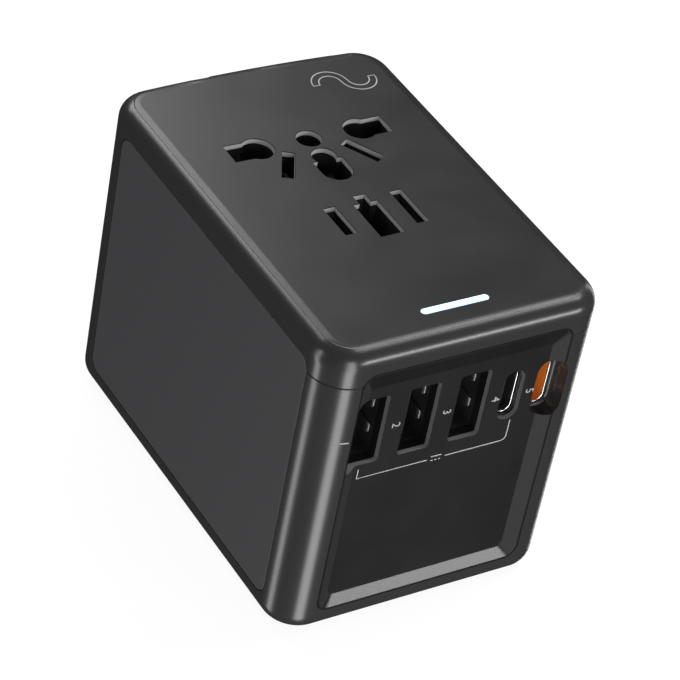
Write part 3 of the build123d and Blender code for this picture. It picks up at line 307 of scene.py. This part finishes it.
def pale_where(material, axis, band, pale):
    """Paint a highlight into a finish: make it paler on the faces that where() picks."""
    tree = material.node_tree
    socket = tree.nodes["Principled BSDF"].inputs["Base Color"]
    mix = node(tree, "ShaderNodeMix", data_type="RGBA")
    mix.inputs[7].default_value = (*pale, 1.0)
    tree.links.new(where(tree, axis, band), mix.inputs[0])
    tree.links.new(socket.links[0].from_socket, mix.inputs[6])
    tree.links.new(mix.outputs[2], socket)


def rough_where(material, axis, band, roughness):
    """Give a finish another roughness on the faces that where() picks."""
    tree = material.node_tree
    socket = tree.nodes["Principled BSDF"].inputs["Roughness"]
    mix = node(tree, "ShaderNodeMix", data_type="FLOAT")
    mix.inputs[3].default_value = roughness
    tree.links.new(where(tree, axis, band), mix.inputs[0])
    tree.links.new(socket.links[0].from_socket, mix.inputs[2])
    tree.links.new(mix.outputs[0], socket)


def finish_for(slot):
    """The material of one of the record's slots."""
    colours = bpy.context.scene.adapter_finishes
    table = {
        "gloss_black": lambda: moulded("gloss_black", colours.gloss_black, 0.25, 0.05, 2500.0, 0.03),
        "panel_grey": lambda: moulded("panel_grey", colours.panel_grey, 0.5, 0.12, 5000.0, 0.03),
        "black_plastic": lambda: moulded("black_plastic", (0.008, 0.008, 0.008), 0.42, 0.1),
        "orange_plastic": tongue_plastic,
        "nickel": lambda: moulded("nickel", (0.62, 0.58, 0.5), 0.24, 0.04, 3000.0, 0.05, 1.0),
        "contact_brass": lambda: moulded("contact_brass", (0.72, 0.5, 0.2), 0.3, 0.05, 3000.0, 0.05, 1.0),
        "steel": lambda: moulded("steel", (0.56, 0.56, 0.58), 0.3, 0.06, 3000.0, 0.05, 1.0),
        "board_green": lambda: moulded("board_green", (0.01, 0.09, 0.04), 0.35, 0.05),
        "ferrite": lambda: moulded("ferrite", (0.02, 0.02, 0.022), 0.6, 0.3, 2500.0),
        "winding_tape": lambda: moulded("winding_tape", (0.6, 0.42, 0.03), 0.3, 0.05),
        "capacitor_can": lambda: moulded("capacitor_can", (0.02, 0.03, 0.07), 0.35, 0.05),
        "fuse_ceramic": lambda: moulded("fuse_ceramic", (0.75, 0.74, 0.7), 0.3, 0.05),
        "lamp_lens": lamp_lens,
    }
    return table[slot]()


def tongue_plastic():
    """Dull, saturated orange of the fast port's tongue and of its lined shell."""
    material = moulded("orange_plastic", bpy.context.scene.adapter_finishes.tongue_orange, 0.6, 0.05)
    material.node_tree.nodes["Principled BSDF"].inputs["Specular IOR Level"].default_value = 0.15
    return material


def print_ink():
    """Pale printing ink, slightly uneven."""
    colours = bpy.context.scene.adapter_finishes
    return moulded("print_ink", colours.print_white, 0.55, 0.1, 6000.0, 0.05)


def polished_steel():
    """Bright rolled steel edge."""
    return moulded("polished_steel", (0.78, 0.78, 0.8), 0.2, 0.02, 3000.0, 0.03, 1.0)


def dark_steel():
    """Plated steel of the ports' shells and springs: dull, and its colour darkened as painted shade for the
    shade inside the ports.
    """
    return moulded("dark_steel", (0.2, 0.2, 0.21), 0.45, 0.06, 3000.0, 0.05, 1.0)


def lamp_lens():
    """The glowing light pipe."""
    if "lamp_lens" in bpy.data.materials:
        return bpy.data.materials["lamp_lens"]
    material, tree, shader = new_material("lamp_lens")
    place = tree.nodes.new("ShaderNodeTexCoord")
    split = tree.nodes.new("ShaderNodeSeparateXYZ")
    tree.links.new(place.outputs["Object"], split.inputs["Vector"])
    along = node(tree, "ShaderNodeMath", operation="ABSOLUTE")
    tree.links.new(split.outputs["X"], along.inputs[0])
    fade = spread(tree, along.outputs["Value"], 0.0, 6.2 * MM, 0.0, 1.0)
    glow = bpy.context.scene.adapter_finishes.lamp_glow
    tree.links.new(tint(tree, fade, (0.8, 0.98, 1.0), glow), shader.inputs["Emission Color"])
    shader.inputs["Emission Strength"].default_value = 1.6
    shader.inputs["Base Color"].default_value = (0.6, 0.85, 0.9, 1.0)
    shader.inputs["Roughness"].default_value = 0.3
    return material


# ---------------------------------------------------------------- modelling helpers
def deselect():
    """Leave edit mode and clear the selection."""
    if bpy.context.object and bpy.context.object.mode != "OBJECT":
        bpy.ops.object.mode_set(mode="OBJECT")
    bpy.ops.object.select_all(action="DESELECT")


def only(piece):
    """Make one object the whole selection."""
    deselect()
    piece.select_set(True)
    bpy.context.view_layer.objects.active = piece


def choose(piece, test):
    """Select, in edit mode, the vertices whose place passes a test."""
    bpy.ops.mesh.select_mode(type="VERT")
    bpy.ops.mesh.select_all(action="DESELECT")
    mesh = bmesh.from_edit_mesh(piece.data)
    for vertex in mesh.verts:
        vertex.select_set(test(vertex.co))
    mesh.select_flush(True)
    bmesh.update_edit_mesh(piece.data)


def settle(piece, name, material, body="housing"):
    """Put a finished piece's place in its mesh, and give it its name, finish and body."""
    only(piece)
    if piece.type != "MESH":
        bpy.ops.object.convert(target="MESH")
    for modifier in list(piece.modifiers):
        bpy.ops.object.modifier_apply(modifier=modifier.name)
    bpy.ops.object.transform_apply(location=True, rotation=True, scale=True)
    piece.name = name
    piece.data.name = name
    piece.data.materials.clear()
    piece.data.materials.append(material)
    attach(piece, body)
    return piece


def join(pieces):
    """Join like pieces into the first one."""
    deselect()
    for piece in pieces:
        piece.select_set(True)
    bpy.context.view_layer.objects.active = pieces[0]
    bpy.ops.object.join()
    return pieces[0]


def facing(right, up):
    """The turn that lays an object's X along one direction and its Y along another."""
    right = Vector(right).normalized()
    up = Vector(up).normalized()
    return Matrix((right, up, right.cross(up))).transposed().to_euler()


def numeral(text, height, place, right, up):
    """A printed number as a thin solid, centred on a place of a surface."""
    deselect()
    bpy.ops.object.text_add(location=place, rotation=facing(right, up))
    piece = bpy.context.object
    piece.data.body = text
    piece.data.size = height * 1.4
    piece.data.align_x = "CENTER"
    piece.data.align_y = "CENTER"
    piece.data.extrude = INK
    piece.data.resolution_u = 4
    only(piece)
    bpy.ops.object.convert(target="MESH")
    bpy.ops.object.transform_apply(location=True, rotation=True, scale=True)
    return piece


def line(points, width, place, right, up, cyclic=False, flat=0.16):
    """A drawn line with round ends: a tube through points of a plane, pressed flat."""
    deselect()
    path = bpy.data.curves.new("line", "CURVE")
    path.dimensions = "3D"
    path.bevel_depth = width / 2
    path.bevel_resolution = 2
    path.use_fill_caps = True
    spline = path.splines.new("POLY")
    spline.points.add(len(points) - 1)
    for point, (x, y) in zip(spline.points, points):
        point.co = (x, y, 0, 1)
    spline.use_cyclic_u = cyclic
    piece = bpy.data.objects.new("line", path)
    bpy.context.collection.objects.link(piece)
    only(piece)
    bpy.ops.object.convert(target="MESH")
    piece.scale = (1, 1, flat)
    bpy.ops.object.transform_apply(location=False, rotation=False, scale=True)
    piece.location = place
    piece.rotation_euler = facing(right, up)
    bpy.ops.object.transform_apply(location=True, rotation=True, scale=True)
    return piece


def arc(centre, radius, start, end, count=7):
    """Points along an arc, both ends included, angles in degrees."""
    turns = [math.radians(start + (end - start) * step / (count - 1)) for step in range(count)]
    return [(centre[0] + radius * math.cos(turn), centre[1] + radius * math.sin(turn)) for turn in turns]


def stadium_points(width, height):
    """An upright slot outline with round ends about the origin."""
    radius = width / 2
    reach = height / 2 - radius
    return arc((0, reach), radius, 0, 180, 11) + arc((0, -reach), radius, 180, 360, 11)


# ---------------------------------------------------------------- operators
class ADAPTER_OT_finishes(bpy.types.Operator):
    """Give every carried-over part its finish"""

    bl_idname = "adapter.finishes"
    bl_label = "Finish the fixed parts"

    def execute(self, context):
        own = {"socket_plate": outlet_plate, "front_panel": dished_panel}
        # Painted shade: the large ports' shells and the first small port's shell take the darkened steel.
        own |= {f"usb_a_shell_{number}": dark_steel for number in (1, 2, 3)}
        own |= {"usb_c_shell_1": dark_steel, "usb_c_shell_2": tongue_plastic}
        for name, part in frame["nodes"].items():
            part.data.materials.clear()
            part.data.materials.append(own[name]() if name in own else finish_for(CAD_SLOTS[name]))
        return {"FINISHED"}


class ADAPTER_OT_port_numbers(bpy.types.Operator):
    """Print a number beside each port, reading downwards"""

    bl_idname = "adapter.port_numbers"
    bl_label = "Port numbers"

    def execute(self, context):
        height = context.scene.adapter_marks.numeral_height
        from_side = 4.9 * MM
        lean = math.asin((CORNER_R - from_side) / CORNER_R)
        pillar_y = LOW.y + CORNER_R - CORNER_R * math.cos(lean)
        down = (0, 0, -1)
        across = (math.cos(lean), -math.sin(lean), 0)
        numbers = [numeral("1", height, (LOW.x + from_side, pillar_y, PORT_Z), down, across)]
        for number, (low, high) in enumerate(PORTS[1:], 2):
            gap = 1.45 * MM if number < 4 else 1.35 * MM
            place = (low.x - gap, DISH_Y, PORT_Z)
            numbers.append(numeral(str(number), height, place, down, (1, 0, 0)))
        settle(join(numbers), "port_numbers", print_ink())
        return {"FINISHED"}


class ADAPTER_OT_load_mark(bpy.types.Operator):
    """Print the bracket that groups the ports, with the direct-current sign in its gap"""

    bl_idname = "adapter.load_mark"
    bl_label = "Load mark"

    def execute(self, context):
        width = context.scene.adapter_marks.line_width
        place = ((LOW.x + HIGH.x) / 2, DISH_Y, PORT_Z - 9.37 * MM)
        left, right = PORTS[0][0].x + 2.1 * MM, PORTS[3][1].x - 1.0 * MM
        gap_left, gap_right = -3.4 * MM, 0.0
        bend = 0.9 * MM
        plane = (place, (1, 0, 0), (0, 0, 1))
        runs = (
            [(left, 1.9 * MM), (left, 0.0), (gap_left, 0.0)],
            [(gap_right, 0.0), *arc((right - bend, bend), bend, 270, 360), (right, 4.1 * MM)],
        )
        marks = [line(run, width, *plane) for run in runs]
        middle = (gap_left + gap_right) / 2
        dashes = [(middle, 0.45 * MM, 0.95 * MM)]
        dashes += [(middle + step * 0.72 * MM, -0.35 * MM, 0.2 * MM) for step in (-1, 0, 1)]
        marks += [line([(x - half, y), (x + half, y)], width, *plane) for x, y, half in dashes]
        settle(join(marks), "load_mark", print_ink())
        return {"FINISHED"}


class ADAPTER_OT_wave_mark(bpy.types.Operator):
    """Print the outlined alternating-current wave behind the outlet"""

    bl_idname = "adapter.wave_mark"
    bl_label = "Wave mark"

    def execute(self, context):
        marks = context.scene.adapter_marks
        length = marks.wave_length
        radius, band = length / 4, 1.25 * MM
        outer, inner = radius + band / 2, radius - band / 2
        crest = (-radius, 0)
        trough = (radius, 0)
        outline = arc(crest, outer, 180, 20, 17) + arc(trough, inner, 180, 360, 15)
        outline += arc(trough, outer, 360, 200, 17) + arc(crest, inner, 0, 180, 15)
        place = (14.2 * MM, 27.4 * MM, TOP)
        settle(
            line(outline, marks.line_width, place, (1, 0, 0), (0, 1, 0), cyclic=True),
            "wave_mark",
            print_ink(),
        )
        return {"FINISHED"}


class ADAPTER_OT_port_rims(bpy.types.Operator):
    """Roll the bright front edges of the two small ports' shells"""

    bl_idname = "adapter.port_rims"
    bl_label = "Port rims"

    def execute(self, context):
        radius = context.scene.adapter_marks.rim_radius
        for number, (low, high) in enumerate(PORTS[3:], 1):
            middle = (low + high) / 2
            outline = stadium_points(high.x - low.x - 2 * radius, high.z - low.z - 2 * radius)
            place = (middle.x, low.y, middle.z)
            rim = line(outline, 2 * radius, place, (1, 0, 0), (0, 0, 1), cyclic=True, flat=1.0)
            only(rim)
            bpy.ops.object.shade_smooth()
            settle(rim, f"usb_c_rim_{number}", polished_steel())
        return {"FINISHED"}


class ADAPTER_OT_port_springs(bpy.types.Operator):
    """Press the spring tabs into the walls of the three large ports"""

    bl_idname = "adapter.port_springs"
    bl_label = "Port springs"

    def execute(self, context):
        width = context.scene.adapter_marks.spring_width
        # Painted shade: the spring tabs take the darkened steel.
        steel = dark_steel()
        for number, (low, high) in enumerate(PORTS[:3], 1):
            tabs = []
            wall = high.x - SHELL_WALL
            for lift in (-2.5 * MM, 2.5 * MM):
                tabs.append(self.tab(wall, low.y + 1.0 * MM, PORT_Z + lift, width))
            settle(join(tabs), f"usb_a_springs_{number}", steel)
        return {"FINISHED"}

    def tab(self, wall, front, height, width):
        """One bowed tab: an edge of a plane swept back from the tab's free end, then given thickness."""
        deselect()
        bpy.ops.mesh.primitive_plane_add(size=1, rotation=(0, math.pi / 2, 0))
        piece = bpy.context.object
        bpy.ops.object.transform_apply(location=False, rotation=True, scale=False)
        bpy.ops.object.mode_set(mode="EDIT")
        choose(piece, lambda place: place.y > 0)
        bpy.ops.mesh.delete(type="VERT")
        bpy.ops.mesh.select_all(action="SELECT")
        bpy.ops.transform.resize(value=(1, 1, width * 0.55))
        bpy.ops.mesh.subdivide(number_cuts=5)
        free_end = ((-0.30, 0.35, 1.35), (-0.06, 0.45, 1.2))
        sweep = (*free_end, (0.0, 0.9, 1.12), (0.08, 1.2, 1.0), (0.26, 2.6, 1.0))
        for across, back, widen in sweep:
            bpy.ops.mesh.extrude_region_move(TRANSFORM_OT_translate={"value": (across * MM, back * MM, 0)})
            bpy.ops.transform.resize(value=(1, 1, widen))
        bpy.ops.mesh.select_all(action="SELECT")
        bpy.ops.transform.translate(value=(wall, front + 0.5, height))
        bpy.ops.mesh.normals_make_consistent(inside=False)
        bpy.ops.object.mode_set(mode="OBJECT")
        only(piece)
        bpy.ops.object.shade_smooth()
        sheet = piece.modifiers.new("sheet", "SOLIDIFY")
        sheet.thickness = 0.18 * MM
        sheet.offset = 0
        rounding = piece.modifiers.new("rounding", "SUBSURF")
        rounding.levels = rounding.render_levels = 2
        for name in ("sheet", "rounding"):
            bpy.ops.object.modifier_apply(modifier=name)
        return piece


class ADAPTER_OT_return_spring(bpy.types.Operator):
    """Give the shutter a return spring: a copy of the fixed spring's mesh with its doubled vertices merged,
    shown in place of the fixed one
    """

    bl_idname = "adapter.return_spring"
    bl_label = "Return spring"

    def execute(self, context):
        spring = bpy.data.objects.new("return_spring", frame["nodes"]["shutter_spring"].data.copy())
        context.collection.objects.link(spring)
        only(spring)
        bpy.ops.object.mode_set(mode="EDIT")
        bpy.ops.mesh.select_all(action="SELECT")
        bpy.ops.mesh.remove_doubles(threshold=0.0001 * MM)
        bpy.ops.object.mode_set(mode="OBJECT")
        settle(spring, "return_spring", finish_for("steel"))
        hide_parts("shutter_spring")
        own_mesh(spring)
        return {"FINISHED"}


class ADAPTER_OT_slider_marks(bpy.types.Operator):
    """Print a number above each slider and an arrow below it"""

    bl_idname = "adapter.slider_marks"
    bl_label = "Slider marks"

    def execute(self, context):
        marks = context.scene.adapter_marks
        right, up = (0, 1, 0), (0, 0, 1)
        panel_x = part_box("right_panel")[1][0]
        numeral_height, numeral_gap = 2.2 * MM, 2.6 * MM
        pieces = []
        for text, knob in (("1", "us_knob"), ("2", "eu_knob"), ("3", "uk_knob")):
            low, high = (Vector(corner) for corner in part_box(knob))
            middle = (low.y + high.y) / 2
            pieces.append(numeral(text, numeral_height, (panel_x, middle, high.z + numeral_gap), right, up))
            foot = (panel_x, middle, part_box("right_panel")[0][2] + 4.4 * MM)
            arrow = [(-1.3 * MM, 0.9 * MM), (0, -0.4 * MM), (1.3 * MM, 0.9 * MM)]
            pieces.append(line(arrow, marks.line_width * 1.3, foot, right, up))
        settle(join(pieces), "slider_marks", print_ink())
        return {"FINISHED"}


class ADAPTER_OT_stage(bpy.types.Operator):
    """Set up the pale floor, the soft lights and the camera"""

    bl_idname = "adapter.stage"
    bl_label = "Set the stage"

    def execute(self, context):
        studio = context.scene.adapter_studio
        self.floor()
        self.world(context, studio)
        self.lights(context)
        self.camera(context, studio)
        context.scene.view_settings.view_transform = "Standard"
        return {"FINISHED"}

    def floor(self):
        """A pale sheet that only the camera sees, so that the object is lit by the softboxes alone."""
        deselect()
        bpy.ops.mesh.primitive_plane_add(size=8.0)
        floor = bpy.context.object
        floor.name = "floor"
        floor.visible_diffuse = False
        floor.visible_glossy = False
        floor.visible_shadow = False
        material, tree, shader = new_material("floor_white")
        shader.inputs["Base Color"].default_value = (0.12, 0.12, 0.12, 1)
        shader.inputs["Roughness"].default_value = 0.9
        shader.inputs["Specular IOR Level"].default_value = 0.0
        shader.inputs["Emission Color"].default_value = (1, 1, 1, 1)
        shader.inputs["Emission Strength"].default_value = 0.93
        clear = tree.nodes.new("ShaderNodeBsdfTransparent")
        geometry = tree.nodes.new("ShaderNodeNewGeometry")
        either = tree.nodes.new("ShaderNodeMixShader")
        tree.links.new(geometry.outputs["Backfacing"], either.inputs["Fac"])
        tree.links.new(shader.outputs["BSDF"], either.inputs[1])
        tree.links.new(clear.outputs["BSDF"], either.inputs[2])
        tree.links.new(either.outputs["Shader"], tree.nodes["Material Output"].inputs["Surface"])
        floor.data.materials.append(material)

    def world(self, context, studio):
        """White where the camera looks past the object, dim for everything else."""
        world = bpy.data.worlds.new("studio")
        world.use_nodes = True
        tree = world.node_tree
        dim = tree.nodes["Background"]
        dim.inputs["Color"].default_value = (1, 1, 1, 1)
        dim.inputs["Strength"].default_value = studio.fill
        white = node(tree, "ShaderNodeBackground", Strength=1.0)
        white.inputs["Color"].default_value = (1, 1, 1, 1)
        seen = tree.nodes.new("ShaderNodeLightPath")
        mix = tree.nodes.new("ShaderNodeMixShader")
        tree.links.new(seen.outputs["Is Camera Ray"], mix.inputs["Fac"])
        tree.links.new(dim.outputs["Background"], mix.inputs[1])
        tree.links.new(white.outputs["Background"], mix.inputs[2])
        tree.links.new(mix.outputs["Shader"], tree.nodes["World Output"].inputs["Surface"])
        context.scene.world = world

    def lights(self, context):
        """Softboxes: name, azimuth from +X and elevation in degrees, distance, width, height and power."""
        softboxes = (
            ("strip_left", 167, -12, 0.60, 0.14, 1.00, 2.1),
            ("strip_front", 257, -12, 0.60, 0.22, 1.00, 4.6),
            ("box_back", 85, 40, 0.55, 0.34, 0.26, 1.5),
            ("box_left", 112, 40, 0.60, 0.10, 0.30, 0.45),
            ("box_overhead", 0, 60, 0.60, 0.24, 0.30, 2.2),
            ("strip_right", 300, 13, 0.60, 0.30, 0.08, 1.2),
            ("strip_far", 20, -12, 0.60, 0.06, 1.00, 0.5),
        )
        for name, azimuth, elevation, distance, width, height, power in softboxes:
            turn, lift = math.radians(azimuth), math.radians(elevation)
            away = Vector((math.cos(lift) * math.cos(turn), math.cos(lift) * math.sin(turn), math.sin(lift)))
            place = away * distance + Vector((0, 0, TOP / 2))
            bpy.ops.object.light_add(type="AREA", location=place)
            light = context.object
            light.name = name
            light.visible_camera = False
            light.data.shape = "RECTANGLE"
            light.data.size, light.data.size_y = width, height
            light.data.energy = power
            light.rotation_euler = (-away).to_track_quat("-Z", "Y").to_euler()

    def camera(self, context, studio):
        """The lens in front, above and to the left, turned a little about its own axis."""
        ahead = Vector(
            (
                math.cos(studio.elevation) * math.sin(studio.azimuth),
                math.cos(studio.elevation) * math.cos(studio.azimuth),
                -math.sin(studio.elevation),
            )
        )
        level = ahead.cross(Vector((0, 0, 1))).normalized()
        up = level.cross(ahead)
        right = level * math.cos(studio.roll) + up * math.sin(studio.roll)
        turned_up = right.cross(ahead)
        bpy.ops.object.camera_add(location=Vector(studio.aim) - ahead * studio.distance)
        camera = context.object
        camera.data.lens = studio.lens
        camera.data.sensor_width = 36.0
        camera.data.clip_start = 0.01
        camera.rotation_euler = Matrix((right, turned_up, -ahead)).transposed().to_euler()
        context.scene.camera = camera


class ADAPTER_PT_panel(bpy.types.Panel):
    """Lists the adapter's steps and settings"""

    bl_label = "Travel adapter"
    bl_space_type = "VIEW_3D"
    bl_region_type = "UI"
    bl_category = "Adapter"

    def draw(self, context):
        for step in STEPS:
            self.layout.operator(step.bl_idname)
        scene = context.scene
        for group in (scene.adapter_finishes, scene.adapter_marks, scene.adapter_studio):
            for key in group.__annotations__:
                self.layout.prop(group, key)


STEPS = (
    ADAPTER_OT_finishes,
    ADAPTER_OT_port_numbers,
    ADAPTER_OT_load_mark,
    ADAPTER_OT_wave_mark,
    ADAPTER_OT_port_rims,
    ADAPTER_OT_port_springs,
    ADAPTER_OT_return_spring,
    ADAPTER_OT_slider_marks,
    ADAPTER_OT_stage,
)
CLASSES = (AdapterFinishes, AdapterMarks, AdapterStudio, *STEPS, ADAPTER_PT_panel)


def register():
    for entry in CLASSES:
        bpy.utils.register_class(entry)
    bpy.types.Scene.adapter_finishes = PointerProperty(type=AdapterFinishes)
    bpy.types.Scene.adapter_marks = PointerProperty(type=AdapterMarks)
    bpy.types.Scene.adapter_studio = PointerProperty(type=AdapterStudio)


def unregister():
    del bpy.types.Scene.adapter_studio
    del bpy.types.Scene.adapter_marks
    del bpy.types.Scene.adapter_finishes
    for entry in reversed(CLASSES):
        bpy.utils.unregister_class(entry)


def main():
    register()
    for step in STEPS:
        group, name = step.bl_idname.split(".")
        getattr(getattr(bpy.ops, group), name)()


if __name__ == "__main__":
    main()
